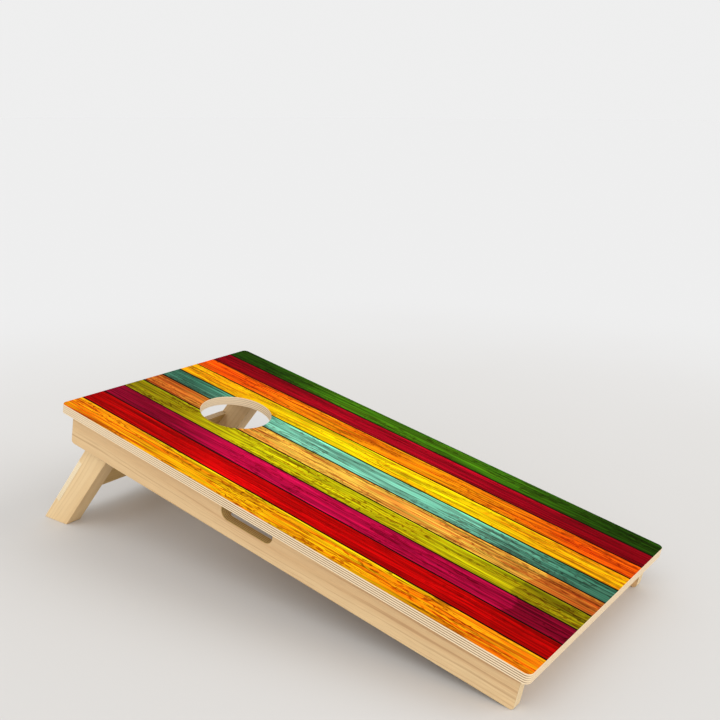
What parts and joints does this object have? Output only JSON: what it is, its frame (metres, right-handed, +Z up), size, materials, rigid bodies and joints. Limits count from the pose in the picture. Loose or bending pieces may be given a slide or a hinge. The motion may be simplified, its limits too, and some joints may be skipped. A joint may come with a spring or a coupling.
{
  "type": "cornhole board",
  "caption": "Sloping plywood game board with a round bag hole, a plank-pattern print, a rail frame with hand holds and braced folding legs.",
  "frame": {"origin": "centre of the bounding box's footprint on the floor, board standing in its playing position", "axes": "+Z up, +Y level towards the bag-hole (high) end, +X to the right of a player looking up the board"},
  "size_m": [0.6, 1.3302, 0.3296],
  "materials": {
    "deck_ply": "satin clear-sealed birch plywood",
    "printed_film": "satin printed picture of painted planks",
    "birch_ply": "satin clear-sealed birch plywood",
    "brace_ply": "satin clear-sealed plywood",
    "leg_wood": "satin clear-sealed solid wood",
    "zinc_steel": "bright zinc plating",
    "nylon": "natural nylon",
    "insert_brass": "plain brass"
  },
  "bodies": {
    "board": {"deck": "deck_ply", "deck_print": "printed_film", "side_rail_left": "birch_ply", "side_rail_right": "birch_ply", "head_rail": "birch_ply", "tail_rail": "birch_ply", "cross_batten": "birch_ply", "pivot_bolt_left": "zinc_steel", "head_washer_left": "zinc_steel", "spacer_washer_left": "nylon", "threaded_insert_left": "insert_brass", "pivot_bolt_right": "zinc_steel", "head_washer_right": "zinc_steel", "spacer_washer_right": "nylon", "threaded_insert_right": "insert_brass"},
    "leg_set": {"leg_left": "leg_wood", "leg_right": "leg_wood", "leg_brace": "brace_ply", "brace_screw_left_1": "zinc_steel", "brace_screw_left_2": "zinc_steel", "brace_screw_left_3": "zinc_steel", "brace_screw_right_1": "zinc_steel", "brace_screw_right_2": "zinc_steel", "brace_screw_right_3": "zinc_steel"}
  },
  "joints": [
    {"name": "legs_fold", "type": "hinge", "parent": "board", "child": "leg_set", "pos_m": [0, 0.41723, 0.25145], "axis": [-1, 0, 0], "range_deg": [0, 118.2]}
  ]
}
